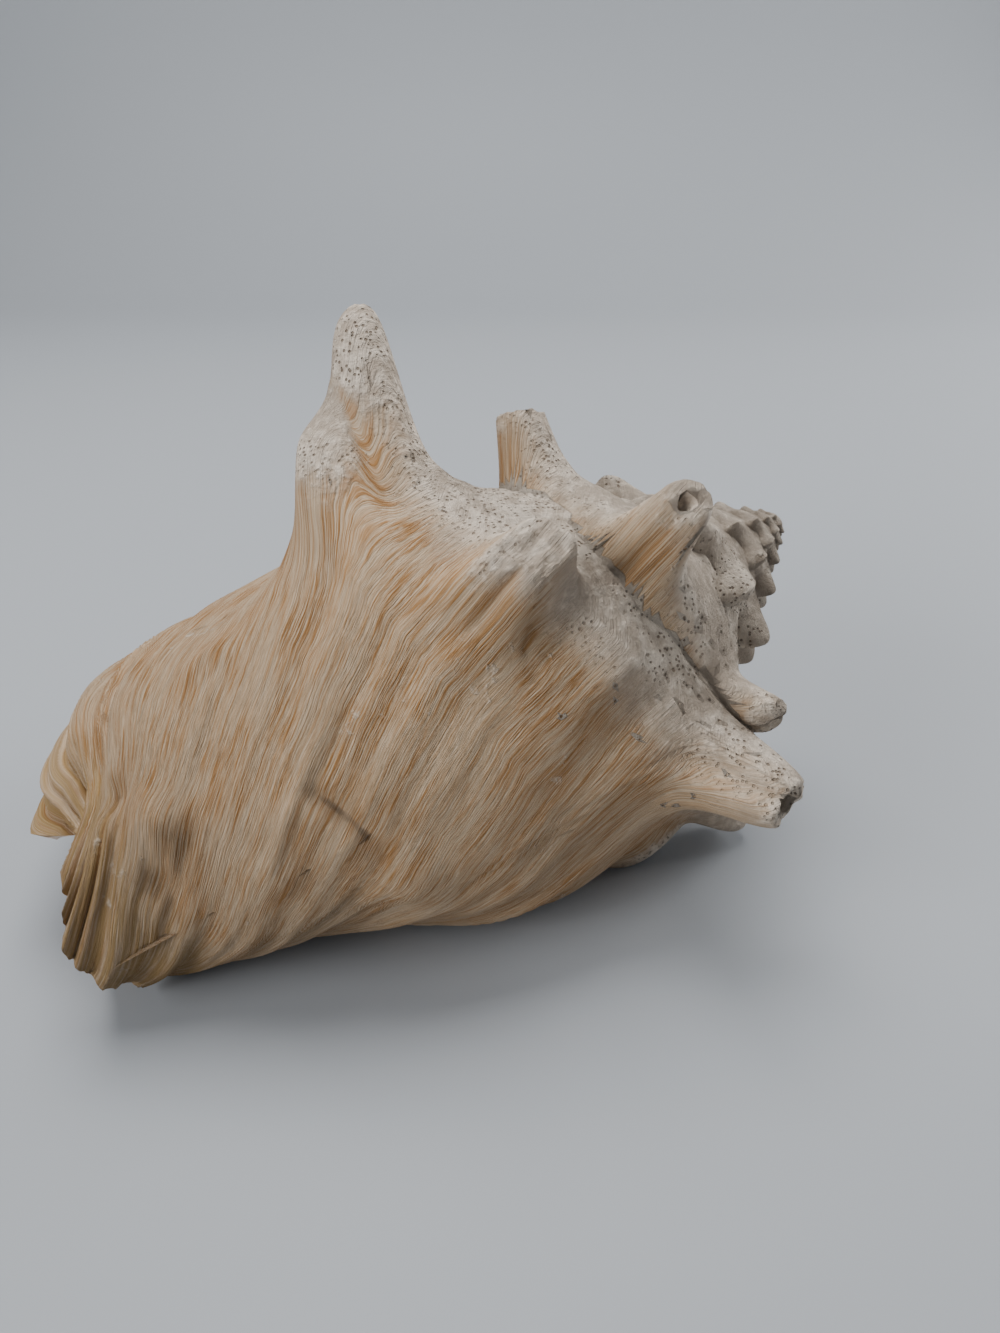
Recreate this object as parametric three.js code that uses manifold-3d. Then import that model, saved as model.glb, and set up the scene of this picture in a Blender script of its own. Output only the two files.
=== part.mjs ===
import * as THREE from 'three';
import { mergeVertices } from 'three/addons/utils/BufferGeometryUtils.js';
import Module from 'manifold-3d';

// A queen conch shell, lying on its mouth, in millimetres with +Z up.
// +X runs along the shell towards the tip of its spire and +Y towards the flared lip.
//
// The shell is one spiral tube, so a place on it has two numbers. The turn is the angle around the coiling
// axis, in degrees. It grows as the shell grew: 0 is the top of the shell as it lies, 90 is the lip's side
// and the earlier whorls are below zero. The station runs across the tube, from 0 at the suture, where a
// whorl meets the one before it, to 1 at the canal end. Both give a radius from the axis and a height along
// it, measured towards the spire's tip.

// How the shell lies: the axis rises towards the spire, and what would reach below the floor is worn flat.
const AXIS_TILT = 21;
const AXIS_HEIGHT = 72.6;
const AXIS_X = 58;
const AXIS_Y = -16.5;
const FLOOR_WIDTH = 600;
const FLOOR_DEPTH = 60;

// The suture spiral and how much a whorl grows in one turn.
const WHORL_GROWTH = 1.58;
const GROWTH_START = -48.8;
const APEX_HEIGHT = 69;
const SUTURE_RADIUS = 45.6;
const SUTURE_DROP = 71.3;

// The profile of the early whorls, as radii and drops below the apex for the growth one turn later.
const EARLY_RADII = [45.6, 36, 16, 12, 10];
const EARLY_DROPS = [69.2, 99, 150, 175, 200];

// Profiles of the last two whorls. Each row is a turn, then radius and height of the shoulder, the belly,
// the waist, the neck and the canal end.
const PROFILES = [
  [-470, 44, 3, 36, -30, 16, -95, 12, -125, 10, -150],
  [-360, 46, -3, 40, -40, 18, -104, 13, -132, 11, -155],
  [-245, 43, 0, 44, -52, 23, -112, 17, -138, 13, -160],
  [-190, 45, -3, 48, -58, 26, -116, 20, -142, 14, -164],
  [-150, 50, -7, 56, -64, 32, -118, 23, -145, 16, -168],
  [-105, 50, -9, 58, -68, 36, -122, 26, -150, 19, -174],
  [-70, 51, -17, 54, -70, 40, -126, 31, -154, 24, -178],
  [-45, 53, -25, 52, -74, 43, -128, 36, -156, 29, -178],
  [-18, 56, -34, 53, -78, 46, -130, 42, -152, 37, -168],
  [4, 59, -40, 57, -82, 50, -132, 43, -150, 34, -163],
  [18, 62, -41, 60, -86, 54, -134, 43, -152, 30, -165],
  [40, 66, -40, 65, -88, 62, -134, 54, -158, 36, -178],
  [60, 75, -33, 75, -86, 75, -134, 67, -158, 42, -182],
  [82, 94, -18, 99, -76, 97, -130, 84, -160, 52, -182],
  [105, 108, 2, 118, -62, 110, -124, 92, -156, 60, -178],
  [122, 112, 8, 122, -56, 112, -120, 94, -152, 64, -176],
];
const KNOT_STATIONS = [0, 0.27, 0.5, 0.74, 0.88, 1];

// The lip climbs back over the spire: how far its suture moves in and up by the last turn.
const CLIMB_START = 20;
const CLIMB_LENGTH = 95;
const CLIMB_IN = 15;
const CLIMB_UP = 24;

// The margin of the lip: the turn where the shell ends at each station.
const MARGIN_STATIONS = [0, 0.12, 0.28, 0.52, 0.7, 0.8, 0.9, 1];
const MARGIN_TURNS = [112, 113, 115, 115, 111, 104, 84, 50];
const CRENULATIONS = 11;
const CRENULATION_DEPTH = 1.2;

// The wall of the last turn, which the mouth opens into. It starts TONGUE inside the whorl before, where it
// tapers, and ends in a rounded rim. Both are shares of the wall's length.
const WALL_START = -66;
const WALL_THICKNESS = 4.5;
const LIP_THICKNESS = 8;
const LIP_SWELL = 45;
const ROOT_DEPTH = 0.8;
const TONGUE = 0.04;
const RIM = 0.012;
const TONGUE_SINK = 1.5;
const RIM_SINK = 2.4;
const END_THICKNESS = 0.7;

// The large spines. foot: turn and station. tip: turn, radius and height. width: half-widths of the foot
// along the spiral and across it. cut: the share of the height where the tip is broken off. hollow: radius
// of the hole in the broken tip. The third spine stands on a step of its own and the worn one on a web.
const SPINES = {
  stepOfTheThird: { foot: [12, 0.4], tip: [29, 93, -51], width: [11, 9], cut: 0.99, hollow: 0 },
  third: { foot: [20, 0.305], tip: [29, 120, -24], width: [8, 7.5], cut: 0.97, hollow: 0 },
  second: { foot: [-27, 0.31], tip: [-25, 70, -21], width: [9, 9], cut: 0.8, hollow: 3.5 },
  first: { foot: [-103, 0.28], tip: [-101, 86, -2], width: [8.5, 11], cut: 0.92, hollow: 4 },
  worn: { foot: [-156, 0.28], tip: [-157, 90, 6], width: [9, 9], cut: 0.94, hollow: 0 },
  webOfTheWorn: { foot: [-157, 0.37], tip: [-158, 72, -25], width: [10, 12], cut: 0.92, hollow: 0 },
  lowerOfTheSpire: { foot: [-460, 0.28], tip: [-458, 65, 12], width: [6.5, 6.5], cut: 0.9, hollow: 1.6 },
  hollowOfTheSpire: { foot: [-397, 0.28], tip: [-397, 71, 17], width: [7.5, 7], cut: 0.83, hollow: 2.6 },
  brokenOfTheSpire: { foot: [-334, 0.28], tip: [-336, 80, 6], width: [6, 7], cut: 0.72, hollow: 0 },
};
const SPINE_REACH = 75;

// A spine's rise has a steep tip part and a low wide foot part. The foot is wider by FOOT_FLARE.
const TIP_SHARE = 0.68;
const TIP_STEEPNESS = 5;
const FOOT_SHARE = 0.32;
const FOOT_FLARE = 1.9;
const FOOT_STEEPNESS = 1.5;

// The hole in a broken tip, as multiples of its radius or of its length.
const HOLLOW_LENGTH = 9;
const HOLLOW_MOUTH = 1.4;
const HOLLOW_END = 0.5;
const HOLLOW_DEPTH = 0.3;
const HOLLOW_SIDES = 8;

// The small pointed knobs of the early whorls. The sea has worn down the ones that lie on top.
const LAST_KNOB = -683;
const KNOB_SPACING = 36;
const KNOB_HEIGHT = 0.34;
const KNOB_LEAN = 0.1;
const KNOB_STATION = 0.3;
const KNOB_WIDTH = 0.17;
const KNOB_SHARPNESS = 3;
const KNOB_WEAR = 0.75;
const KNOB_WEAR_SPREAD = 6;

// How finely the surface is divided. The filled whorls are made in stretches of SPIRE_STRETCH degrees.
const COLUMN_STEP = 14;
const SPINE_COLUMNS = [-14, -9.5, -7, -4, 0, 4, 7, 9.5, 14];
const SPINE_CLEARANCE = 18;
const LEAST_COLUMN_STEP = 1;
const SHOULDER_STATIONS = [0.15, 0.2, 0.235, 0.265, 0.29, 0.315, 0.34, 0.365, 0.4, 0.44, 0.49, 0.55];
const MERGE_DISTANCE = 1e-4;
const STATION_STEP = 0.01;
const BODY_STATIONS = [0, 0.08, ...SHOULDER_STATIONS, 0.62, 0.7, 0.78, 0.86, 0.93, 1];
const SPIRE_STATIONS = [0, 0.1, 0.2, 0.3, 0.4, 0.52];
const FIRST_TURN = -2300;
const SPIRE_END = -612;
const SPIRE_STRETCH = 280;

const radians = (degrees) => (degrees * Math.PI) / 180;
const clamp01 = (x) => Math.min(1, Math.max(0, x));
const smooth = (x) => clamp01(x) ** 2 * (3 - 2 * clamp01(x));
const growth = (turn) => WHORL_GROWTH ** ((turn - GROWTH_START) / 360);

// A smooth curve through the points (xs, ys), read at x.
function curve(x, xs, ys) {
  const last = xs.length - 1;
  let i = 0;
  while (i < last - 1 && x > xs[i + 1]) i += 1;
  const slope = (k) => (ys[k + 1] - ys[k]) / (xs[k + 1] - xs[k]);
  const tangent = (k) => {
    if (k === 0) return slope(0);
    if (k === last) return slope(last - 1);
    const before = xs[k] - xs[k - 1];
    const after = xs[k + 1] - xs[k];
    return (slope(k) * before + slope(k - 1) * after) / (before + after);
  };
  const step = xs[i + 1] - xs[i];
  const t = clamp01((x - xs[i]) / step);
  const t2 = t * t;
  const t3 = t2 * t;
  return (2 * t3 - 3 * t2 + 1) * ys[i] + (t3 - 2 * t2 + t) * step * tangent(i)
    + (3 * t2 - 2 * t3) * ys[i + 1] + (t3 - t2) * step * tangent(i + 1);
}

// The directions of the axis towards the spire's tip, of turn 0 and of turn 90.
const TO_APEX = new THREE.Vector3(Math.cos(radians(AXIS_TILT)), 0, Math.sin(radians(AXIS_TILT)));
const TO_TOP = new THREE.Vector3(-Math.sin(radians(AXIS_TILT)), 0, Math.cos(radians(AXIS_TILT)));
const TO_LIP = new THREE.Vector3(0, 1, 0);

// The direction straight out from the axis at a turn.
function outward(turn) {
  const angle = radians(turn);
  return TO_TOP.clone().multiplyScalar(Math.cos(angle)).addScaledVector(TO_LIP, Math.sin(angle));
}

// The place of a turn, a radius from the axis and a height along it.
function place(turn, radius, height) {
  const onAxis = new THREE.Vector3(AXIS_X, AXIS_Y, AXIS_HEIGHT).addScaledVector(TO_APEX, height);
  return onAxis.addScaledVector(outward(turn), radius);
}

const profileTurns = PROFILES.map((row) => row[0]);
const PROFILE_CURVES = PROFILES[0].slice(1).map((first, k) => PROFILES.map((row) => row[k + 1]));

// The radii and heights that the whorl's profile passes through at a turn.
function profileKnots(turn) {
  const climb = clamp01((turn - CLIMB_START) / CLIMB_LENGTH) ** 2;
  const sutureRadius = SUTURE_RADIUS * growth(turn) - CLIMB_IN * climb;
  const sutureHeight = APEX_HEIGHT - SUTURE_DROP * growth(turn) + CLIMB_UP * climb;
  if (turn > profileTurns[0]) {
    const at = PROFILE_CURVES.map((values) => curve(turn, profileTurns, values));
    return {
      radii: [sutureRadius, at[0], at[2], at[4], at[6], at[8]],
      heights: [sutureHeight, at[1], at[3], at[5], at[7], at[9]],
    };
  }
  const scale = growth(turn + 360);
  return {
    radii: [sutureRadius, ...EARLY_RADII.map((radius) => radius * scale)],
    heights: [sutureHeight, ...EARLY_DROPS.map((drop) => APEX_HEIGHT - drop * scale)],
  };
}

// The smooth whorl without its spines.
function whorlPoint(turn, station) {
  const knots = profileKnots(turn);
  const radius = curve(station, KNOT_STATIONS, knots.radii);
  return place(turn, radius, curve(station, KNOT_STATIONS, knots.heights));
}

// A spine's rise, from 1 at its middle. The distance is in half-widths.
function spineRise(distance) {
  const tipPart = TIP_SHARE / (1 + distance ** TIP_STEEPNESS);
  return tipPart + FOOT_SHARE / (1 + (distance / FOOT_FLARE) ** 2) ** FOOT_STEEPNESS;
}

// How much of a knob is left at a turn.
function knobLeft(turn) {
  const facingUp = Math.max(0, Math.cos(radians(turn)));
  return 1 - KNOB_WEAR * facingUp ** KNOB_WEAR_SPREAD;
}

// The outside of the shell, with its spines and knobs.
function skinPoint(turn, station) {
  const point = whorlPoint(turn, station);
  const lift = new THREE.Vector3();
  for (const { foot, tip, width, cut } of Object.values(SPINES)) {
    if (Math.abs(turn - foot[0]) > SPINE_REACH) continue;
    const base = whorlPoint(...foot);
    const height = place(...tip).sub(base);
    const offset = point.clone().sub(base);
    const along = offset.dot(outward(foot[0] + 90));
    const across = Math.sqrt(Math.max(0, offset.lengthSq() - along ** 2));
    const distance = Math.hypot(along / width[0], across / width[1]);
    const rise = spineRise(distance);
    lift.multiplyScalar(1 - rise).addScaledVector(height, Math.min(rise, cut));
  }
  if (turn < LAST_KNOB + KNOB_SPACING / 2) {
    const phase = (LAST_KNOB - turn) / KNOB_SPACING;
    const ridge = Math.cos(Math.PI * (phase - Math.round(phase))) ** KNOB_SHARPNESS;
    const rise = ridge * Math.exp(-(((station - KNOB_STATION) / KNOB_WIDTH) ** 2));
    const size = SUTURE_RADIUS * growth(turn + 360) * rise * knobLeft(turn);
    lift.addScaledVector(outward(turn), KNOB_HEIGHT * size).addScaledVector(TO_APEX, KNOB_LEAN * size);
  }
  return point.add(lift);
}

// The turns of the columns from one turn to another, closer together near the spines.
function columns(from, to, step) {
  const count = Math.round((to - from) / step);
  const even = Array.from({ length: count + 1 }, (empty, i) => from + ((to - from) * i) / count);
  const feet = Object.values(SPINES).map((spine) => spine.foot[0]);
  const clear = even.filter((turn) => feet.every((foot) => Math.abs(turn - foot) > SPINE_CLEARANCE));
  const near = feet.flatMap((foot) => SPINE_COLUMNS.map((offset) => foot + offset));
  const inside = near.filter((turn) => turn > from + LEAST_COLUMN_STEP && turn < to - LEAST_COLUMN_STEP);
  const kept = [];
  for (const turn of [from, ...clear, ...inside, to].sort((a, b) => a - b)) {
    if (kept.length === 0 || turn - kept.at(-1) > LEAST_COLUMN_STEP) kept.push(turn);
  }
  return kept;
}

// A closed solid lofted through rings that all have the same number of points. A filled solid's end rings
// are closed around their middle, and a wall's by joining the outside to the inside.
function loft(rings, filled) {
  const size = rings[0].length;
  const points = rings.flat();
  const triangles = [];
  for (let i = 0; i + 1 < rings.length; i += 1) {
    for (let j = 0; j < size; j += 1) {
      const a = i * size + j;
      const b = i * size + ((j + 1) % size);
      triangles.push([a, b + size, b], [a, a + size, b + size]);
    }
  }
  const close = (first, order) => {
    const cap = (...corners) => triangles.push(order > 0 ? corners : corners.reverse());
    if (filled) {
      const middle = points.length;
      const total = new THREE.Vector3();
      for (const point of points.slice(first, first + size)) total.add(point);
      points.push(total.divideScalar(size));
      for (let j = 0; j < size; j += 1) cap(middle, first + j, first + ((j + 1) % size));
      return;
    }
    for (let j = 0; 2 * j + 1 < size; j += 1) {
      const k = size - 1 - j;
      cap(first + j, first + j + 1, first + k);
      cap(first + j + 1, first + k - 1, first + k);
    }
  };
  close(0, 1);
  close((rings.length - 1) * size, -1);
  return solidOf(points, triangles);
}

// A solid from a geometry, with points at the same place made one.
function solidFrom(geometry) {
  geometry.deleteAttribute('normal');
  geometry.deleteAttribute('uv');
  const merged = mergeVertices(geometry, MERGE_DISTANCE);
  const index = merged.index.array;
  const kept = [];
  for (let i = 0; i < index.length; i += 3) {
    const [a, b, c] = index.slice(i, i + 3);
    if (a !== b && b !== c && c !== a) kept.push(a, b, c);
  }
  return new wasm.Manifold(new wasm.Mesh({
    numProp: 3,
    vertProperties: new Float32Array(merged.attributes.position.array),
    triVerts: new Uint32Array(kept),
  }));
}

// A solid from points and the triangles between them.
function solidOf(points, triangles) {
  const geometry = new THREE.BufferGeometry();
  geometry.setAttribute('position', new THREE.Float32BufferAttribute(points.flatMap((p) => p.toArray()), 3));
  geometry.setIndex(triangles.flat());
  return solidFrom(geometry);
}

// A stretch of the spiral that is solid in to the coiling axis.
function filledTurns(turns, stations) {
  return loft(turns.map((turn) => {
    const { heights } = profileKnots(turn);
    const skin = stations.map((station) => skinPoint(turn, station));
    const lowest = curve(stations[stations.length - 1], KNOT_STATIONS, heights);
    return [place(turn, 0, heights[0]), ...skin, place(turn, 0, lowest)];
  }), true);
}

// The tapered hole in the broken tip of a hollow spine.
function spineHollow({ foot, tip, cut, hollow }) {
  const base = whorlPoint(...foot);
  const height = place(...tip).sub(base);
  const way = height.clone().normalize();
  const mouth = hollow * HOLLOW_MOUTH;
  const hole = new THREE.CylinderGeometry(mouth, hollow * HOLLOW_END, HOLLOW_LENGTH, HOLLOW_SIDES);
  const turned = new THREE.Quaternion().setFromUnitVectors(new THREE.Vector3(0, 1, 0), way);
  const middle = base.addScaledVector(height, cut).addScaledVector(way, -HOLLOW_LENGTH * HOLLOW_DEPTH);
  return hole.applyQuaternion(turned).translate(...middle);
}

// The inside of the wall: the smooth whorl moved in by the thickness.
function liningPoint(turn, station, thickness) {
  const point = whorlPoint(turn, station);
  const ahead = whorlPoint(turn + 1, station).sub(whorlPoint(turn - 1, station));
  const low = Math.max(0, station - STATION_STEP);
  const high = Math.min(1, station + STATION_STEP);
  const across = whorlPoint(turn, high).sub(whorlPoint(turn, low));
  return point.addScaledVector(across.cross(ahead).normalize(), thickness);
}

// The turn where the shell ends at a station, with the waves of the lip.
function marginTurn(station) {
  const wave = Math.cos(station * CRENULATIONS * 2 * Math.PI);
  return curve(station, MARGIN_STATIONS, MARGIN_TURNS) + CRENULATION_DEPTH * wave;
}

// The wall of the last turn, open along the mouth, with a thick round lip.
function lastTurnWall() {
  const turns = columns(WALL_START, MARGIN_TURNS[0], COLUMN_STEP);
  const ring = (share, sink, fullness) => {
    const turnAt = (station) => WALL_START + (marginTurn(station) - WALL_START) * share;
    const skin = BODY_STATIONS.map((station) => {
      const turn = turnAt(station);
      const sunk = liningPoint(turn, station, sink).sub(whorlPoint(turn, station));
      return skinPoint(turn, station).add(sunk);
    });
    const lining = [...BODY_STATIONS].reverse().map((station) => {
      const swell = smooth(1 - (marginTurn(station) - turnAt(station)) / LIP_SWELL);
      const thickness = WALL_THICKNESS + (LIP_THICKNESS - WALL_THICKNESS) * swell;
      return liningPoint(turnAt(station), station, thickness * fullness);
    });
    const { radii, heights } = profileKnots(turnAt(0));
    return [place(turnAt(0), radii[0] * ROOT_DEPTH, heights[0]), ...skin, ...lining];
  };
  const span = MARGIN_TURNS[0] - WALL_START;
  const rings = turns.map((turn) => ring((turn - WALL_START) / span, 0, 1));
  const tongue = ring(-TONGUE, TONGUE_SINK, END_THICKNESS);
  const rim = ring(1 + RIM, RIM_SINK, END_THICKNESS);
  return loft([tongue, ...rings, rim], false);
}

const wasm = await Module();
wasm.setup();

let shell = lastTurnWall();
const bodyTurns = columns(SPIRE_END, WALL_START, COLUMN_STEP);
const half = bodyTurns.findIndex((turn) => turn > SPIRE_END + SPIRE_STRETCH);
shell = shell.add(filledTurns(bodyTurns.slice(0, half + 1), BODY_STATIONS));
shell = shell.add(filledTurns(bodyTurns.slice(half), BODY_STATIONS));
for (let end = SPIRE_END; end > FIRST_TURN; end -= SPIRE_STRETCH) {
  shell = shell.add(filledTurns(columns(end - SPIRE_STRETCH, end, KNOB_SPACING / 2), SPIRE_STATIONS));
}
for (const spine of Object.values(SPINES).filter(({ hollow }) => hollow > 0)) {
  shell = shell.subtract(solidFrom(spineHollow(spine)));
}
const belowFloor = new THREE.BoxGeometry(FLOOR_WIDTH, FLOOR_WIDTH, FLOOR_DEPTH);
shell = shell.subtract(solidFrom(belowFloor.translate(0, 0, -FLOOR_DEPTH / 2)));

// Joining leaves specks of no volume along the axis, so only the shell itself is kept.
const [largest] = shell.decompose().sort((a, b) => b.volume() - a.volume());
const solid = largest.getMesh();
const geometry = new THREE.BufferGeometry();
geometry.setAttribute('position', new THREE.Float32BufferAttribute(solid.vertProperties, 3));
geometry.setIndex(Array.from(solid.triVerts));
geometry.computeVertexNormals();

const worn = new THREE.MeshStandardMaterial({ color: 0xd9c6ac, roughness: 0.75, metalness: 0 });
const mesh = new THREE.Mesh(geometry, worn);
mesh.name = 'shell';

const group = new THREE.Group();
group.add(mesh);

export default group;
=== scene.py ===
import itertools
import math

import bmesh
import bpy
import numpy as np
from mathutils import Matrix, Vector


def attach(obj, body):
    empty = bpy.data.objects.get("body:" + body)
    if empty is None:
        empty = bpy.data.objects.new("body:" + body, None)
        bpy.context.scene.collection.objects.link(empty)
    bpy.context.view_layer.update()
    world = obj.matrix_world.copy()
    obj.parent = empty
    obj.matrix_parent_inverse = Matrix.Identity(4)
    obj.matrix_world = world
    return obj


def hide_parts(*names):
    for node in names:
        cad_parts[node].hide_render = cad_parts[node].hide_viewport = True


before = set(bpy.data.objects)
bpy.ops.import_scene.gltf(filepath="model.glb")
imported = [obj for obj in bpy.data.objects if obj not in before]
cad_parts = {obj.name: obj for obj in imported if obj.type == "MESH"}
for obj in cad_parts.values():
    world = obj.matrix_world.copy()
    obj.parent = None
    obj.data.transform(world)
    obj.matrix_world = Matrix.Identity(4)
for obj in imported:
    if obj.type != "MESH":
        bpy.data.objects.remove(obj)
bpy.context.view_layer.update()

# The spiral wall. A queen conch lays down lime at its lip while it turns around one axis, so the shell is one
# wall that widens 1.58 times in a turn. A place on it is a turn, in degrees, and a station across the whorl,
# from 0 at the suture to 1 at the canal end. Lengths are in millimetres until a mesh is made of them.
MM = 0.001
AXIS_TILT = math.radians(21)
AXIS_FOOT = np.array([58, -16.5, 72.6])
WHORL_GROWTH = 1.58
GROWTH_START = -48.8
APEX_HEIGHT = 69
SUTURE_RADIUS = 45.6
SUTURE_DROP = 71.3
# The turns before the measured ones are small copies of one turn: its radii and its drops from the apex.
EARLY_RADII = [45.6, 36, 16, 12, 10]
EARLY_DROPS = [69.2, 99, 150, 175, 200]
# At the lip the suture climbs back towards the spire, and in towards the axis.
CLIMB_START = 20
CLIMB_LENGTH = 95
CLIMB_IN = 15
CLIMB_UP = 24

# Each row is a turn, then radius and height of the shoulder, belly, waist, neck and canal end.
PROFILES = np.array([
    [-470, 44, 3, 36, -30, 16, -95, 12, -125, 10, -150],
    [-360, 46, -3, 40, -40, 18, -104, 13, -132, 11, -155],
    [-245, 43, 0, 44, -52, 23, -112, 17, -138, 13, -160],
    [-190, 45, -3, 48, -58, 26, -116, 20, -142, 14, -164],
    [-150, 50, -7, 56, -64, 32, -118, 23, -145, 16, -168],
    [-105, 50, -9, 58, -68, 36, -122, 26, -150, 19, -174],
    [-70, 51, -17, 54, -70, 40, -126, 31, -154, 24, -178],
    [-45, 53, -25, 52, -74, 43, -128, 36, -156, 29, -178],
    [-18, 56, -34, 53, -78, 46, -130, 42, -152, 37, -168],
    [4, 59, -40, 57, -82, 50, -132, 43, -150, 34, -163],
    [18, 62, -41, 60, -86, 54, -134, 43, -152, 30, -165],
    [40, 66, -40, 65, -88, 62, -134, 54, -158, 36, -178],
    [60, 75, -33, 75, -86, 75, -134, 67, -158, 42, -182],
    [82, 94, -18, 99, -76, 97, -130, 84, -160, 52, -182],
    [105, 108, 2, 118, -62, 110, -124, 92, -156, 60, -178],
    [122, 112, 8, 122, -56, 112, -120, 94, -152, 64, -176],
])
KNOT_STATIONS = [0, 0.27, 0.5, 0.74, 0.88, 1]

TO_APEX = np.array([math.cos(AXIS_TILT), 0, math.sin(AXIS_TILT)])
TO_TOP = np.array([-math.sin(AXIS_TILT), 0, math.cos(AXIS_TILT)])
TO_LIP = np.array([0, 1, 0])


def growth(turn):
    return WHORL_GROWTH ** ((turn - GROWTH_START) / 360)


def outward(turn):
    angle = np.radians(turn)[..., None]
    return TO_TOP * np.cos(angle) + TO_LIP * np.sin(angle)


def place(turn, radius, height):
    turn, radius, height = (np.asarray(x, float) for x in (turn, radius, height))
    return AXIS_FOOT + TO_APEX * height[..., None] + outward(turn) * radius[..., None]


def shares(x, knots):
    """How much each knot counts at x on a smooth curve through the knots, one row for each x."""
    knots = np.asarray(knots, float)
    steps = np.diff(knots)
    slopes = np.diff(np.eye(len(knots)), axis=0) / steps[:, None]
    both = (steps[1:] + steps[:-1])[:, None]
    inner = (slopes[1:] * steps[:-1, None] + slopes[:-1] * steps[1:, None]) / both
    tangents = np.vstack([slopes[0], inner, slopes[-1]])
    at = np.clip(np.searchsorted(knots, x) - 1, 0, len(knots) - 2)
    step = steps[at][:, None]
    t = np.clip((x - knots[at]) / steps[at], 0, 1)[:, None]
    ends = np.eye(len(knots))
    return (
        (2 * t**3 - 3 * t**2 + 1) * ends[at] + (t**3 - 2 * t**2 + t) * step * tangents[at]
        + (3 * t**2 - 2 * t**3) * ends[at + 1] + (t**3 - t**2) * step * tangents[at + 1]
    )


def curve(x, knots, values):
    return (shares(np.ravel(x), knots) @ np.asarray(values, float)).reshape(np.shape(x))


def whorl(turn, station):
    """Points of the smooth wall, without spines."""
    shape = np.shape(turn)
    turn, station = np.ravel(turn).astype(float), np.ravel(station).astype(float)
    climb = np.clip((turn - CLIMB_START) / CLIMB_LENGTH, 0, 1) ** 2
    suture_radius = SUTURE_RADIUS * growth(turn) - CLIMB_IN * climb
    suture_height = APEX_HEIGHT - SUTURE_DROP * growth(turn) + CLIMB_UP * climb
    measured = shares(turn, PROFILES[:, 0]) @ PROFILES[:, 1:]
    before = growth(turn + 360)[:, None]
    early = (turn <= PROFILES[0, 0])[:, None]
    radii = np.where(early, EARLY_RADII * before, measured[:, 0::2])
    heights = np.where(early, APEX_HEIGHT - EARLY_DROPS * before, measured[:, 1::2])
    across = shares(station, KNOT_STATIONS)
    radius = (np.column_stack([suture_radius, radii]) * across).sum(1)
    height = (np.column_stack([suture_height, heights]) * across).sum(1)
    return place(turn, radius, height).reshape(*shape, 3)


SMALL_STEP = 0.01


def inward(turn, station):
    """The way from the outside straight into the wall."""
    ahead = whorl(turn + 1, station) - whorl(turn - 1, station)
    before, after = np.maximum(station - SMALL_STEP, 0), np.minimum(station + SMALL_STEP, 1)
    across = whorl(turn, after) - whorl(turn, before)
    way = np.cross(across, ahead)
    return way / np.linalg.norm(way, axis=-1, keepdims=True)


# Growth lines. A line passes each station some degrees before the shoulder, and the lag eases at the lip.
LAG_STATIONS = [0, 0.07, 0.13, 0.19, 0.25, 0.35, 0.45, 0.55, 0.65, 0.75, 0.88, 1]
LAG_TURNS = [50, 40, 26, 12, 4, 0, -6, -18.5, -35, -55, -88, -130]
LAG_EASES_FROM = 30
LAG_EASES_OVER = 85
LAG_EASED = 0.5


def age(turn, station):
    """The turn at which the growth line through a place crosses the shoulder."""
    ease = 1 - LAG_EASED * np.clip((turn - LAG_EASES_FROM) / LAG_EASES_OVER, 0, 1)
    return turn - np.interp(station, LAG_STATIONS, LAG_TURNS) * ease


LATTICE_SIZE = 64
LATTICE = np.random.default_rng(11).uniform(-1, 1, (LATTICE_SIZE,) * 3)


def lumps(*places):
    """Smooth unevenness between -1 and 1, with about one lump for each unit of the places."""
    places = np.stack(np.broadcast_arrays(*places), -1) + float(LATTICE_SIZE)
    cell = np.floor(places).astype(int)
    t = places - cell
    t = t * t * (3 - 2 * t)
    total = 0
    for corner in itertools.product((0, 1), repeat=3):
        weight = np.prod(np.where(corner, t, 1 - t), axis=-1)
        x, y, z = np.moveaxis((cell + corner) % LATTICE_SIZE, -1, 0)
        total = total + weight * LATTICE[x, y, z]
    return total


def step_up(x, low, high):
    t = np.clip((x - low) / (high - low), 0, 1)
    return t * t * (3 - 2 * t)


# Relief. A layer is its height in millimetres, the degrees that one lump takes, the lumps across and a shift.
FOLDS = [(2.3, 13, 4, 2.0), (0.9, 5, 6, 7.0)]
THREADS = [(0.35, 2.1, 9, 11.0)]
LIP_STEPS = [(3.0, 3.2, 3, 17.0)]
LIP_STEPS_GROW = (50, 95)
FRILL_HEIGHT = 1.4
FRILLS_ACROSS = 34
FRILL_TURNS = 30
FRILL_SHIFT = 5.0
FRILLS_GROW = (84, 108)
# The flat ramp above the shoulder is worn, so its lumps follow no growth line: a height and a size.
RAMP_LUMPS = [(0.5, 9), (0.25, 3.5)]
RAMP_FOLDS = 0.4
RAMP_ENDS = (0.2, 0.34)
DEEPEST = 3.2
# Bumps and dents: a turn and station, half-widths in degrees and in stations, and a height.
BUMPS = [
    ((-27, 0.8), (10, 0.035), 5.5), ((-85, 0.61), (10, 0.04), 4.5), ((-64, 0.72), (8, 0.03), 2.0),
    ((-8, 0.86), (6, 0.03), -3.5), ((-45, 0.84), (8, 0.02), -2.5), ((10, 0.62), (5, 0.04), 1.8),
]
# Ridges along the growth lines below the spines: the line, its half-width in degrees, height and fade.
RIDGES = [
    (-33, 4.5, 5.0, 0.45), (-44, 4, -2.5, 0.5), (14, 5, 4.0, 0.5), (3, 4, -2.5, 0.5), (-108, 6, 3.0, 0.5),
]
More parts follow.
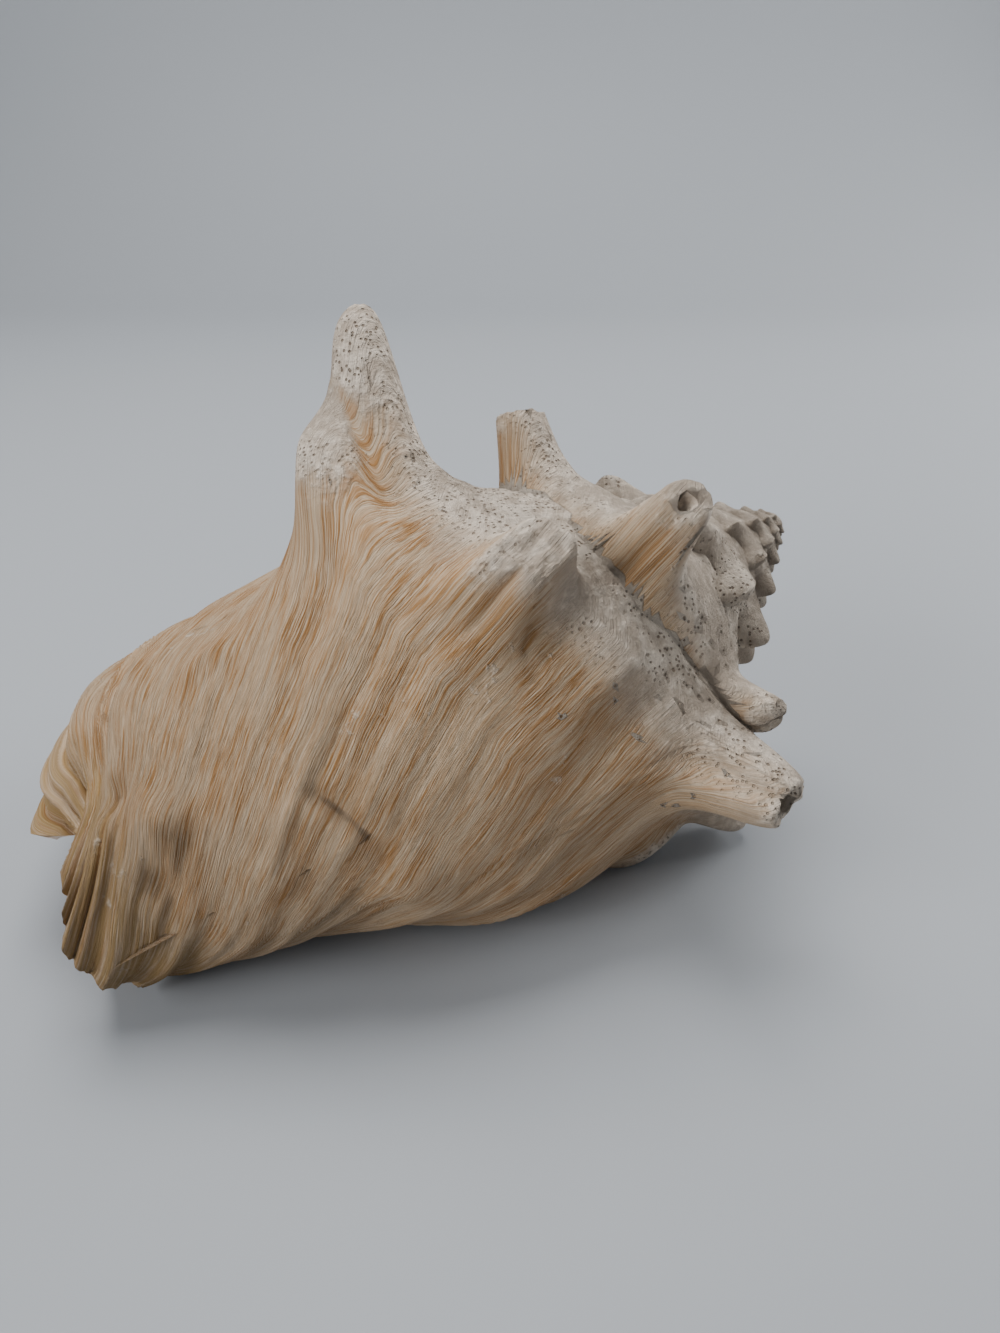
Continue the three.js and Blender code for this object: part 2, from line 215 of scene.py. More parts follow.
# The old scar on the front: its ends as turn and station. Its shelf is measured in widths of the scar.
SCAR_FROM = (-45, 0.635)
SCAR_TO = (-72, 0.612)
SCAR_WIDTH = 0.011
SCAR_HALF_LENGTH = 6
SCAR_FADE = 8
SCAR_DEPTH = 2.6
SHELF_AT = 2.5
SHELF_WIDTH = 3
SHELF_HEIGHT = 2.2


def scar(turn, station):
    """The groove of the old scar, and the shelf on its lower side, between 0 and 1."""
    share = np.clip((turn - SCAR_FROM[0]) / (SCAR_TO[0] - SCAR_FROM[0]), 0, 1)
    beside = (station - SCAR_FROM[1] - share * (SCAR_TO[1] - SCAR_FROM[1])) / SCAR_WIDTH
    beyond = np.maximum(np.abs(turn - (SCAR_FROM[0] + SCAR_TO[0]) / 2) - SCAR_HALF_LENGTH, 0) / SCAR_FADE
    return np.exp(-(beside**2) - beyond**2), np.exp(-(((beside - SHELF_AT) / SHELF_WIDTH) ** 2) - beyond**2)


def layered(layers, line, station):
    return sum(
        height * lumps(line / turns, station * across, shift) for height, turns, across, shift in layers
    )


def relief(turn, station, point):
    """How far the wall stands out from its smooth form, in millimetres."""
    line = age(turn, station)
    body = step_up(station, *RAMP_ENDS)
    folds = layered(FOLDS, line, station)
    frill = FRILL_HEIGHT * lumps(station * FRILLS_ACROSS, turn / FRILL_TURNS, FRILL_SHIFT)
    frill = frill * step_up(turn, *FRILLS_GROW)
    ramp = sum(height * lumps(*np.moveaxis(point / size, -1, 0)) for height, size in RAMP_LUMPS)
    threads = layered(THREADS, line, station)
    height = frill + body * (folds + threads) + (1 - body) * (ramp + RAMP_FOLDS * folds)
    for ridge_line, ridge_width, ridge_height, fade in RIDGES:
        ridge = np.exp(-(((line - ridge_line) / ridge_width) ** 2) - station / fade)
        height = height + body * ridge_height * ridge
    for (turn_at, station_at), (turn_width, station_width), bump in BUMPS:
        height = height + bump * np.exp(
            -(((turn - turn_at) / turn_width) ** 2) - ((station - station_at) / station_width) ** 2
        )
    steps = layered(LIP_STEPS, line, station) * step_up(line, *LIP_STEPS_GROW)
    groove, shelf = scar(turn, station)
    return np.maximum(height + steps - SCAR_DEPTH * groove + SHELF_HEIGHT * shelf, -DEEPEST)


# The spines. The animal folded its lip outwards every 65 degrees or so, and each fold left a hollow spine of
# lime on the shoulder. The sea has worn and broken them, each in its own way.
# A foot is a turn and station, and a tip is a turn, radius and height. The cut is the share of the height
# where a spine is broken off. A width goes along and across the spiral, a groove is an angle, depth and width.
SPINES = {
    "step of the third": dict(foot=(12, 0.4), tip=(29, 93, -51), width=(13, 10), cut=0.99),
    "third": dict(
        foot=(20, 0.305), tip=(28, 119.5, -23.5), width=(10.5, 10.5), flare=1.6, cut=0.985, rough=0.02,
        chalk=1.5,
    ),
    "second": dict(
        foot=(-29, 0.325), tip=(-28, 69, -25), width=(10, 13.5), flare=1.3, cut=0.84, rough=0.1,
        corners=4, twist=15, groove=(2.2, 1.2, 0.25), chalk=1.0,
    ),
    "first": dict(
        foot=(-103, 0.28), tip=(-101, 86, -2), width=(10, 11), cut=0.92, rough=0.03, hollow=4.4,
        groove=(0.6, 0.45, 0.4), chalk=0.85,
    ),
    "worn": dict(foot=(-156, 0.28), tip=(-157, 90, 6), width=(10, 9), cut=0.93, rough=0.03),
    "web of the worn": dict(foot=(-157, 0.37), tip=(-158, 72, -22), width=(11, 19), cut=0.94),
    "lower of the spire": dict(
        foot=(-460, 0.28), tip=(-458, 65, 12), width=(8, 7), cut=0.88, rough=0.09, hollow=1.8,
        groove=(2.0, 0.6, 0.4),
    ),
    "hollow of the spire": dict(
        foot=(-397, 0.28), tip=(-397, 71, 17), width=(9, 8), cut=0.83, rough=0.02, hollow=2.8, chalk=0.8,
    ),
    "broken of the spire": dict(
        foot=(-334, 0.28), tip=(-336, 80, 6), width=(8.5, 8.5), flare=1.6, cut=0.7, rough=0.03, slant=0.09,
        hollow=1.8,
    ),
    "under the spire": dict(foot=(-523, 0.28), tip=(-523, 48, 12), width=(7, 6), cut=0.8),
    "behind the spire": dict(foot=(-586, 0.28), tip=(-586, 43, 17), width=(6, 5.5), cut=0.8),
}
SPINE_REACH = 75
SPINE_FLARE = 1.9
TIP_SHARE = 0.68
FOOT_SHARE = 0.32
TIP_SHARPNESS = 7
FOOT_SHARPNESS = 1.5
RAGGED_SIZE = 2.2
# Worn places keep less of the relief, and so do the small whorls of the spire.
RUBBED_SMOOTH = 0.6
RUBBED_FROM = (0.5, 0.9)
SMALL_WHORLS_SMOOTH = 1.5


def foot_point(spine):
    """Where a spine stands on the smooth wall."""
    turn, station = spine["foot"]
    return whorl(np.array([turn]), np.array([station]))[0]


def around_spine(spine, points):
    """How many half-widths points are from a spine's middle, and how many across it, and its whole height."""
    base = foot_point(spine)
    height = place(*spine["tip"]) - base
    along_way = outward(np.array(spine["foot"][0] + 90.0))
    across_way = np.cross(height, along_way)
    across_way /= np.linalg.norm(across_way)
    offset = points - base
    along = offset @ along_way
    across = np.sqrt(np.maximum((offset**2).sum(-1) - along**2, 0)) * np.sign(offset @ across_way)
    along, across = along / spine["width"][0], across / spine["width"][1]
    angle = np.arctan2(across, along)
    corners, twist = spine.get("corners", 2), math.radians(spine.get("twist", 0))
    sideways, upward = np.abs(np.cos(angle - twist)), np.abs(np.sin(angle - twist))
    outline = (sideways**corners + upward**corners) ** (1 / corners)
    side, depth, width = spine.get("groove", (0, 0, 1))
    open_side = 1 + depth * np.exp(-(((angle - side + math.pi) % (2 * math.pi) - math.pi) / width) ** 2)
    return np.hypot(along, across) * outline * open_side, across, height


def spine_rise(distance, flare):
    """1 over the tip, steep at the sides, with a wide low foot."""
    tip = TIP_SHARE / (1 + distance**TIP_SHARPNESS)
    return tip + FOOT_SHARE / (1 + (distance / flare) ** 2) ** FOOT_SHARPNESS


def skin(turn, station):
    """Points of the outside with its relief and spines, and how far up a spine each one is."""
    point = whorl(turn, station)
    lift = np.zeros_like(point)
    worn = np.zeros(np.shape(turn))
    for spine in SPINES.values():
        near = np.abs(turn - spine["foot"][0]) < SPINE_REACH
        distance, across, height = around_spine(spine, point)
        rise = np.where(near, spine_rise(distance, spine.get("flare", SPINE_FLARE)), 0)
        ragged = spine.get("rough", 0) * lumps(*np.moveaxis(point / RAGGED_SIZE, -1, 0))
        cut = spine["cut"] + spine.get("slant", 0) * np.clip(across, -1, 1) + ragged
        lift = lift * (1 - rise[..., None]) + height * np.minimum(rise, cut)[..., None]
        worn = np.maximum(worn, np.minimum(rise * spine.get("chalk", 1), 1))
    small = np.minimum(growth(turn + 360), 1) ** SMALL_WHORLS_SMOOTH
    ease = small * (1 - RUBBED_SMOOTH * step_up(worn, *RUBBED_FROM))
    out = inward(turn, station) * -(relief(turn, station, point) * ease)[..., None]
    return point + lift + out, worn


CROWD_REACH = 13
CROWDING = 1.6
FINE_TURNS = 2000
FINE_STATIONS = 301


def close_near(start, end, count, middles):
    """Turns from start to end, closer together near the middles."""
    fine = np.linspace(start, end, FINE_TURNS)
    weight = 1 + CROWDING * sum(np.exp(-(((fine - m) / CROWD_REACH) ** 2)) for m in middles)
    reached = np.concatenate([[0], np.cumsum((weight[1:] + weight[:-1]) / 2)])
    return np.interp(np.linspace(0, reached[-1], count), reached, fine)


def even_stations(turn_at, rows, count):
    """Stations that lie equally far apart over the outside, along each row of turns."""
    fine = np.linspace(0, 1, FINE_STATIONS)
    made = []
    for row in rows:
        points, _ = skin(turn_at(row, fine), fine)
        reached = np.concatenate([[0], np.cumsum(np.linalg.norm(np.diff(points, axis=0), axis=1))])
        made.append(np.interp(np.linspace(0, reached[-1], count), reached, fine))
    return np.array(made)


# Where boring sponges have drilled the lime: turn and station, half-widths and share.
BORED = [
    ((-80, 0.2), (17, 0.1), 1.0), ((-430, 0.2), (24, 0.09), 0.9), ((0, 0.2), (18, 0.1), 0.5),
    ((26, 0.31), (6, 0.05), 0.5), ((-334, 0.25), (9, 0.06), 0.5), ((-130, 0.2), (12, 0.08), 0.5),
]


def outside_marks(turn, station, worn):
    """What the material reads: the growth line, the station, and how worn, bored or cracked a place is."""
    bored = np.zeros(np.shape(turn))
    for (turn_at, station_at), (turn_width, station_width), share in BORED:
        bored = bored + share * np.exp(
            -(((turn - turn_at) / turn_width) ** 2) - ((station - station_at) / station_width) ** 2
        )
    crack, _ = scar(turn, station)
    line, outside = age(turn, station), np.zeros(np.shape(turn))
    return {"age": line, "station": station, "worn": worn, "bored": bored, "inside": outside, "crack": crack}


def side_faces(rows, size):
    index = np.arange(rows * size).reshape(rows, size)
    turned = np.roll(index, -1, axis=1)
    return np.stack([index[:-1], index[1:], turned[1:], turned[:-1]], -1).reshape(-1, 4).tolist()


def meshed(name, points, faces, marks):
    """An object of points in millimetres. Marks are the numbers that the material reads at each point."""
    mesh = bpy.data.meshes.new(name)
    mesh.from_pydata((np.asarray(points) * MM).tolist(), [], faces)
    for key, value in marks.items():
        numbers = mesh.attributes.new(key, "FLOAT", "POINT")
        numbers.data.foreach_set("value", np.ravel(value).astype(np.float32))
    mesh.update()
    piece = bpy.data.objects.new(name, mesh)
    bpy.context.scene.collection.objects.link(piece)
    return piece


def filled_turns(name, turns, count):
    """A stretch of the spiral that is solid in to the coiling axis."""
    stations = even_stations(lambda row, fine: np.full_like(fine, row), turns, count)
    turn = np.repeat(turns[:, None], count, axis=1)
    points, worn = skin(turn, stations)
    on_axis = []
    for end in (0.0, 1.0):
        heights = (whorl(turns, np.full(len(turns), end)) - AXIS_FOOT) @ TO_APEX
        on_axis.append(place(turns, np.zeros(len(turns)), heights)[:, None])
    rings = np.concatenate([on_axis[0], points, on_axis[1]], axis=1)
    rows, size = rings.shape[:2]
    faces = side_faces(rows, size)
    for middle, first, order in ((rows * size, 0, 1), (rows * size + 1, (rows - 1) * size, -1)):
        faces += [[middle, first + j, first + (j + 1) % size][::order] for j in range(size)]
    points = np.vstack([rings.reshape(-1, 3), rings[[0, -1]].mean(axis=1)])
    marks = outside_marks(turn, stations, worn)
    for key, value in marks.items():
        marks[key] = np.concatenate([np.pad(value, ((0, 0), (1, 1)), mode="edge").ravel(), [0, 0]])
    return meshed(name, points, faces, marks)


# The lip and the mouth. The last half turn is an open wall of lime that thickens to a wide wavy lip. The
# animal lived on its inner side, the lining. The wall starts as a tongue a little way into the turn before.
MARGIN_STATIONS = [0, 0.12, 0.28, 0.52, 0.7, 0.8, 0.9, 1]
MARGIN_TURNS = [112, 113, 115, 115, 112, 106, 86, 50]
# Waves of the lip's edge: how many, their depth in degrees and a shift.
WAVES = ((11, 1.1, 0.0), (26, 0.55, 1.0), (47, 0.3, 2.0))
WALL_START = -66
WALL_THICKNESS = 4.5
LIP_THICKNESS = 8
LIP_SWELL = 45
RIM_SINK = 2.4
RIM_FULLNESS = 0.7
ROOT_DEPTH = 0.8
TONGUE = 0.04
TONGUE_STEP = 10
TONGUE_SINKS = [3, 2.5]
TONGUE_FULLNESS = 1.8
RIM = 0.012
LAST_TURN_ROWS = 210
LAST_TURN_SPINES = [-27, 12, 22]
ACROSS = 191
LINING_STEP = 5


def margin_turn(station):
    waves = sum(depth * np.cos(station * count * 2 * np.pi + shift) for count, depth, shift in WAVES)
    return curve(station, MARGIN_STATIONS, MARGIN_TURNS) + waves


def last_turn():
    """The wall of the last half turn, from its tongue inside the whorl before to the rim of the lip."""
    rows = close_near(WALL_START, MARGIN_TURNS[0], LAST_TURN_ROWS, LAST_TURN_SPINES) - WALL_START
    lengths = np.concatenate([[-TONGUE, -TONGUE / TONGUE_STEP], rows / rows[-1], [1 + RIM]])
    sinks = np.concatenate([TONGUE_SINKS, np.zeros(len(rows)), [RIM_SINK]])
    fullness = np.concatenate([[TONGUE_FULLNESS] * 2, np.ones(len(rows)), [RIM_FULLNESS]])[:, None]

    def turn_at(share, station):
        return WALL_START + (margin_turn(station) - WALL_START) * share

    stations = even_stations(turn_at, lengths, ACROSS)
    turn = turn_at(lengths[:, None], stations)
    outside, worn = skin(turn, stations)
    outside = outside + inward(turn, stations) * sinks[:, None, None]
    back = stations[:, ::-LINING_STEP]
    back_turn = turn_at(lengths[:, None], back)
    swell = step_up(1 - (margin_turn(back) - back_turn) / LIP_SWELL, 0, 1)
    depth = (WALL_THICKNESS + (LIP_THICKNESS - WALL_THICKNESS) * swell) * fullness
    lining = whorl(back_turn, back) + inward(back_turn, back) * depth[..., None]
    root_turn = turn_at(lengths, np.zeros(len(lengths)))
    suture = whorl(root_turn, np.zeros(len(lengths))) - AXIS_FOOT
    root = place(root_turn, (suture * outward(root_turn)).sum(-1) * ROOT_DEPTH, suture @ TO_APEX)
    rings = np.concatenate([root[:, None], outside, lining], axis=1)
    rows, size = rings.shape[:2]
    faces = side_faces(rows, size)
    for first, order in ((0, 1), ((rows - 1) * size, -1)):
        faces.append([first, first + 1, first + size - 1][::order])
        for m in range(lining.shape[1] - 1):
            outer = [first + 1 + m * LINING_STEP + k for k in range(LINING_STEP + 1)]
            inner = first + size - 1 - m
            faces += [[a, b, inner][::order] for a, b in zip(outer, outer[1:])]
            faces.append([outer[-1], inner - 1, inner][::order])
    marks = outside_marks(turn, stations, worn)
    lining_marks = {"age": age(back_turn, back), "station": back, "inside": np.ones(back.shape)}
    for key, value in marks.items():
        inner = lining_marks.get(key, np.zeros(back.shape))
        marks[key] = np.concatenate([value[:, :1], value, inner], axis=1)
    return meshed("conch_shell", rings.reshape(-1, 3), faces, marks)


def join(piece, other, operation="UNION"):
    """Joins or cuts a piece by another closed mesh, which is then used up."""
    step = piece.modifiers.new("join", "BOOLEAN")
    step.operation = operation
    step.solver = "MANIFOLD"
    step.object = other
    made = bpy.data.meshes.new_from_object(piece.evaluated_get(bpy.context.evaluated_depsgraph_get()))
    piece.modifiers.clear()
    piece.data = made
    bpy.data.objects.remove(other)


SPIRE_END = -612
BODY_START = -247
BODY_ROWS = 112
OLDER_ROWS = 180
OLDER_ACROSS = 86
shell = last_turn()
spine_feet = [spine["foot"][0] for spine in SPINES.values()]
body_turns = close_near(BODY_START, WALL_START, BODY_ROWS, spine_feet)
join(shell, filled_turns("body_whorl", body_turns, ACROSS))
older_turns = close_near(SPIRE_END, BODY_START, OLDER_ROWS, spine_feet)
join(shell, filled_turns("older_whorl", older_turns, OLDER_ACROSS))


# The early whorls. They are small and knobbed, and each turn is the one before it made 1.58 times as large,
# so one rule shapes them all. The sea has worn down the knobs that lie on top.
class Value:
    """A socket in a node tree, which takes part in plain arithmetic."""

    def __init__(self, tree, socket=None):
        self.tree = tree
        self.socket = socket

    def make(self, kind, settings, inputs, output=0):
        """Any other node: its type, then its settings, then its sockets."""
        node = self.tree.nodes.new(kind)
        for key, value in settings.items():
            setattr(node, key, value)
        for key, value in inputs.items():
            if isinstance(value, Value):
                self.tree.links.new(value.socket, node.inputs[key])
            else:
                node.inputs[key].default_value = value
        return Value(self.tree, node.outputs[output])

    def worked(self, operation, *inputs):
        return self.make("ShaderNodeMath", {"operation": operation}, dict(enumerate(inputs)))

    def __add__(self, other):
        return self.worked("ADD", self, other)

    def __radd__(self, other):
        return self.worked("ADD", other, self)

    def __sub__(self, other):
        return self.worked("SUBTRACT", self, other)

    def __rsub__(self, other):
        return self.worked("SUBTRACT", other, self)

    def __mul__(self, other):
        return self.worked("MULTIPLY", self, other)

    def __rmul__(self, other):
        return self.worked("MULTIPLY", other, self)

    def __truediv__(self, other):
        return self.worked("DIVIDE", self, other)

    def __rtruediv__(self, other):
        return self.worked("DIVIDE", other, self)

    def __pow__(self, other):
        return self.worked("POWER", self, other)

    def __rpow__(self, other):
        return self.worked("POWER", other, self)

    def __neg__(self):
        return self.worked("MULTIPLY", self, -1.0)

    def __lt__(self, other):
        return self.worked("LESS_THAN", self, other)

    def __gt__(self, other):
        return self.worked("GREATER_THAN", self, other)

    def at_least(self, other):
        return self.worked("MAXIMUM", self, other)

    def at_most(self, other):
        return self.worked("MINIMUM", self, other)

    def stepped(self, low, high):
        """0 below low, 1 above high and smooth between them. It falls where low is the higher one."""
        start, end, first, last = (low, high, 0.0, 1.0) if low < high else (high, low, 1.0, 0.0)
        sockets = {0: self, 1: start, 2: end, 3: first, 4: last}
        return self.make("ShaderNodeMapRange", {"interpolation_type": "SMOOTHSTEP"}, sockets)


LAST_KNOB = -683
KNOB_SPACING = 36
KNOB_HEIGHT = 0.34
KNOB_LEAN = 0.1
KNOB_STATION = 0.3
KNOB_WIDTH = 0.15
KNOB_SHARPNESS = 4
KNOB_WEAR = 0.75
KNOB_WEAR_ON_TOP = 6
TIP_START = -900
TIP_WEAR = 0.1
UNEVEN_TURNS = 9
UNEVEN_ACROSS = 7
UNEVEN_SHIFT = 3.0
UNEVEN_HEIGHT = 0.09
SUTURE_LAG = 50.0
LAG_PER_STATION = 190.0
SPIRE_LAST_STATION = 0.5
END_RADIUS = 0.4
END_DROP = 1.25
RING = 34
TURN_STEP = 4
FIRST_TURN = -2300
OVERLAP = 1


def whorl_rule():
    """The tree that bends a rod into a stretch of the spire. Its z is the turn, its angle the station."""
    tree = bpy.data.node_groups.new("early_whorls", "GeometryNodeTree")
    sizes = {
        "First turn": 0.0, "Last turn": 0.0, "Whorl growth": WHORL_GROWTH, "Shoulder radius": SUTURE_RADIUS,
        "Knob height": KNOB_HEIGHT, "Knob spacing": KNOB_SPACING, "Knob wear": KNOB_WEAR,
    }
    for label, size in sizes.items():
        socket = tree.interface.new_socket(label, in_out="INPUT", socket_type="NodeSocketFloat")
        socket.default_value = size
    tree.interface.new_socket("Geometry", in_out="OUTPUT", socket_type="NodeSocketGeometry")
    start = Value(tree)
    given = tree.nodes.new("NodeGroupInput")
    size = {label: Value(tree, given.outputs[label]) for label in sizes}

    steps_long = int((SPIRE_END - FIRST_TURN) / TURN_STEP)
    rod_size = {"Vertices": RING, "Side Segments": steps_long, "Radius": 1.0, "Depth": 1.0}
    rod = start.make("GeometryNodeMeshCylinder", {"fill_type": "TRIANGLE_FAN"}, rod_size, "Mesh")
    at = start.make("ShaderNodeSeparateXYZ", {}, {0: start.make("GeometryNodeInputPosition", {}, {})})
    x, y, z = (Value(tree, at.socket.node.outputs[k]) for k in range(3))
    # A point is on the rod's skin or in the middle of an end. The first and last ones around lie on the axis.
    # A quarter of a step keeps the numbers of the points clear of rounding.
    on_skin = (x * x + y * y) > 0.5
    around = y.worked("ARCTAN2", y, x) / (2 * math.pi) + (1 + 0.25 / RING)
    number = around.worked("FLOOR", around.worked("FRACT", around) * RING)
    station = ((number - 1.0) / (RING - 3)).at_least(0.0).at_most(1.0) * SPIRE_LAST_STATION
    outer = on_skin * (number > 0.5) * (number < RING - 1.5)
    turn = size["First turn"] + (z + 0.5) * (size["Last turn"] - size["First turn"])
    grown = size["Whorl growth"] ** ((turn + (360 - GROWTH_START)) / 360)
    scale = grown * size["Shoulder radius"]

    def through(values):
        """A smooth curve through the values at the suture, the shoulder and the belly."""
        knots = KNOT_STATIONS[:3]
        slopes = [(values[k + 1] - values[k]) / (knots[k + 1] - knots[k]) for k in (0, 1)]
        steps = [knots[1] - knots[0], knots[2] - knots[1]]
        middle = (slopes[0] * steps[1] + slopes[1] * steps[0]) / (steps[0] + steps[1])
        parts = []
        for k, (begin, finish) in enumerate(((slopes[0], middle), (middle, slopes[1]))):
            t = ((station - knots[k]) / steps[k]).at_least(0.0).at_most(1.0)
            t2, t3 = t * t, t * t * t
            parts.append(
                (2 * t3 - 3 * t2 + 1) * values[k] + (t3 - 2 * t2 + t) * (steps[k] * begin)
                + (3 * t2 - 2 * t3) * values[k + 1] + (t3 - t2) * (steps[k] * finish)
            )
        past = station > knots[1]
        return parts[0] * (1 - past) + parts[1] * past

    unit = SUTURE_RADIUS
    radius = through([1 / WHORL_GROWTH, EARLY_RADII[0] / unit, EARLY_RADII[1] / unit]) * scale
    drop = through([SUTURE_DROP / WHORL_GROWTH / unit, EARLY_DROPS[0] / unit, EARLY_DROPS[1] / unit]) * scale
    angle = turn * (math.pi / 180)
    upward = angle.worked("COSINE", angle).at_least(0.0)
    phase = (LAST_KNOB - turn) / size["Knob spacing"]
    ridge = (phase - phase.worked("ROUND", phase)) * math.pi
    ridge = ridge.worked("COSINE", ridge) ** KNOB_SHARPNESS
    swell = math.e ** -(((station - KNOB_STATION) / KNOB_WIDTH) ** 2)
    knob = ridge * swell * scale * (1 - size["Knob wear"] * upward**KNOB_WEAR_ON_TOP)
    knob = knob * (turn < LAST_KNOB + KNOB_SPACING / 2)
    uneven_at = {0: turn / UNEVEN_TURNS, 1: station * UNEVEN_ACROSS, 2: UNEVEN_SHIFT}
    uneven = start.make(
        "ShaderNodeTexNoise", {"noise_dimensions": "3D"},
        {"Vector": start.make("ShaderNodeCombineXYZ", {}, uneven_at), "Scale": 1.0},
    )
    radius = (radius + knob * size["Knob height"] + (uneven - 0.5) * scale * UNEVEN_HEIGHT) * outer
    radius = radius * (1 - TIP_WEAR * upward * (turn < TIP_START))
    middle = (1 - on_skin) * scale
    radius = radius + middle * END_RADIUS
    height = APEX_HEIGHT - drop * on_skin - middle * END_DROP + knob * outer * KNOB_LEAN
    turned, raised = radius * angle.worked("COSINE", angle), radius * angle.worked("SINE", angle)
    spot = start.make("ShaderNodeCombineXYZ", {}, {
        0: (AXIS_FOOT[0] + height * TO_APEX[0] + turned * TO_TOP[0]) * MM,
        1: (AXIS_FOOT[1] + raised) * MM,
        2: (AXIS_FOOT[2] + height * TO_APEX[2] + turned * TO_TOP[2]) * MM,
    })
    solid = rod
    line = turn - SUTURE_LAG + station * LAG_PER_STATION
    for name, value in {"age": line, "station": station, "worn": ridge * swell}.items():
        solid = start.make(
            "GeometryNodeStoreNamedAttribute", {"data_type": "FLOAT", "domain": "POINT"},
            {"Geometry": solid, "Name": name, "Value": value},
        )
    solid = start.make("GeometryNodeSetPosition", {}, {"Geometry": solid, "Position": spot})
    solid = start.make("GeometryNodeFlipFaces", {}, {"Mesh": solid})
    solid = start.make("GeometryNodeRealizeInstances", {}, {"Geometry": solid})
    solid = start.make("GeometryNodeSetMaterial", {}, {"Geometry": solid, "Material": lime})
    tree.links.new(solid.socket, tree.nodes.new("NodeGroupOutput").inputs["Geometry"])
    return tree


def grown_by(tree, name, surface, numbers):
    """A plain mesh object that a node tree makes on a surface. Its inputs are set by their identifiers."""
    piece = bpy.data.objects.new(name, surface.data.copy() if surface else bpy.data.meshes.new(name))
    bpy.context.scene.collection.objects.link(piece)
    rule = piece.modifiers.new(name, "NODES")
    rule.node_group = tree
    for item in tree.interface.items_tree:
        if item.name in numbers:
            rule[item.identifier] = numbers[item.name]
    made = bpy.data.meshes.new_from_object(piece.evaluated_get(bpy.context.evaluated_depsgraph_get()))
    piece.modifiers.clear()
    piece.data = made
    return piece


lime = bpy.data.materials.new("weathered_lime")
spire_turns = {"First turn": float(FIRST_TURN), "Last turn": float(SPIRE_END + OVERLAP)}
early_whorls = grown_by(whorl_rule(), "early_whorls", None, spire_turns)

# What the sea and other animals have done to it. Sponges bored small holes, the broken spines are hollow, and
# the shell has rolled on the bottom until it was flat where it rests.
BORE_RADIUS = 0.7
BORE_SPACING = 1.6
BORES_PER_SQUARE_METRE = 42000.0
SMALLEST_BORE = 0.45
BORE_PLACES_SEED = 5
BORE_SIZES_SEED = 8


def bore_holes():
    """The tree that scatters small balls over a surface where it is drilled."""
    tree = bpy.data.node_groups.new("bore_holes", "GeometryNodeTree")
    sizes = {
        "Holes per square metre": BORES_PER_SQUARE_METRE,
        "Radius": BORE_RADIUS * MM,
        "Least share": SMALLEST_BORE,
    }
    tree.interface.new_socket("Surface", in_out="INPUT", socket_type="NodeSocketGeometry")
    for label, size in sizes.items():
        socket = tree.interface.new_socket(label, in_out="INPUT", socket_type="NodeSocketFloat")
        socket.default_value = size
    tree.interface.new_socket("Geometry", in_out="OUTPUT", socket_type="NodeSocketGeometry")
    start = Value(tree)
    given = tree.nodes.new("NodeGroupInput")
    surface, density, radius, least = (Value(tree, socket) for socket in given.outputs[:4])
    share = start.make("GeometryNodeInputNamedAttribute", {"data_type": "FLOAT"}, {"Name": "bored"})
    spread = {
        "Mesh": surface, "Distance Min": BORE_SPACING * MM, "Density Max": density, "Density Factor": share,
        "Seed": BORE_PLACES_SEED,
    }
    dots = start.make("GeometryNodeDistributePointsOnFaces", {"distribute_method": "POISSON"}, spread)
    ball = start.make("GeometryNodeMeshIcoSphere", {}, {"Radius": radius, "Subdivisions": 1})
    size_range = {2: least, 3: 1.0, "Seed": BORE_SIZES_SEED}
    size = start.make("FunctionNodeRandomValue", {"data_type": "FLOAT"}, size_range, 1)
    holes = start.make("GeometryNodeInstanceOnPoints", {}, {"Points": dots, "Instance": ball, "Scale": size})
    holes = start.make("GeometryNodeRealizeInstances", {}, {"Geometry": holes})
    holes = start.make("GeometryNodeSetMaterial", {}, {"Geometry": holes, "Material": lime})
    tree.links.new(holes.socket, tree.nodes.new("NodeGroupOutput").inputs["Geometry"])
    return tree


join(shell, grown_by(bore_holes(), "bore_holes", shell, {"Radius": BORE_RADIUS * MM}), "DIFFERENCE")

# Each ring of a hollow: its height over the break, and its share of the hollow's width.
HOLLOW_RINGS = [(4, 1.25), (0, 0.95), (-10, 0.4)]
HOLLOW_SIDES = 20
HOLLOW_UNEVEN = 0.15


def tip_hollow(spine):
    """The tapered hole in the broken tip of a spine."""
    base = foot_point(spine)
    height = place(*spine["tip"]) - base
    way = height / np.linalg.norm(height)
    side = np.cross(way, TO_LIP) / np.linalg.norm(np.cross(way, TO_LIP))
    other = np.cross(way, side)
    middle = base + height * spine["cut"]
    around = np.linspace(0, 2 * np.pi, HOLLOW_SIDES, endpoint=False)[:, None]
    rings = []
    for shift, share in HOLLOW_RINGS:
        uneven = 1 + HOLLOW_UNEVEN * lumps(np.cos(around) * 2, np.sin(around) * 2, shift + spine["hollow"])
        ring = (side * np.cos(around) + other * np.sin(around)) * spine["hollow"] * share * uneven
        rings.append(middle + way * shift + ring)
    first, last = 0, (len(rings) - 1) * HOLLOW_SIDES
    points = np.vstack(rings + [[middle + way * HOLLOW_RINGS[k][0] for k in (0, -1)]])
    faces = side_faces(len(rings), HOLLOW_SIDES)
    for centre, start, order in ((last + HOLLOW_SIDES, first, 1), (last + HOLLOW_SIDES + 1, last, -1)):
        for j in range(HOLLOW_SIDES):
            faces.append([centre, start + j, start + (j + 1) % HOLLOW_SIDES][::order])
    return meshed("tip_hollow", points, faces, {"age": np.full(len(points), float(spine["foot"][0]))})


for spine in SPINES.values():
    if spine.get("hollow"):
        join(shell, tip_hollow(spine), "DIFFERENCE")

